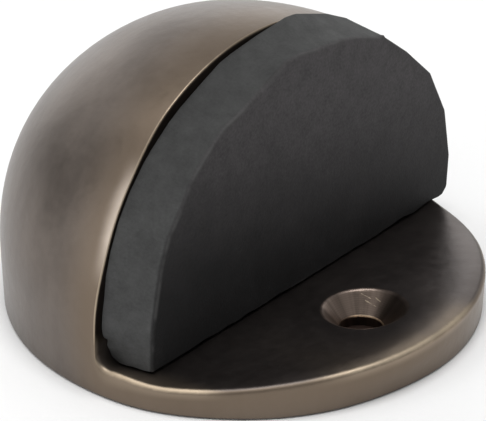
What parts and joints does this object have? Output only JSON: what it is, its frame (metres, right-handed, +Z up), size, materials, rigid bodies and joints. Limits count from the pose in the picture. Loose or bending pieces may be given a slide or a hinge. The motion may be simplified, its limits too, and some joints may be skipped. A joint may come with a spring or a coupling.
{
  "type": "door stop",
  "caption": "Floor-mounted half-dome door stop: cast base plate and dome in one, rubber buffer on its flat face, countersunk fixing hole.",
  "frame": {"origin": "centre of the round base plate's underside, on the floor", "axes": "+Z up out of the floor; -Y towards the door, where the buffer's face and the fixing hole are; the dome is at +Y; +X is to the right for someone looking from the door along +Y"},
  "size_m": [0.0458, 0.045, 0.0272],
  "materials": {
    "antique_brass": "antiqued bronze-brown satin, worn bright along its edges",
    "black_rubber": "matte, knife-cut",
    "zinc_steel": "bright zinc plate"
  },
  "bodies": {
    "root": {"dome_base": "antique_brass", "rubber_buffer": "black_rubber", "buffer_stud_left": "zinc_steel", "buffer_stud_right": "zinc_steel", "stud_washer_left": "zinc_steel", "stud_washer_right": "zinc_steel", "stud_nut_left": "zinc_steel", "stud_nut_right": "zinc_steel"}
  },
  "joints": []
}
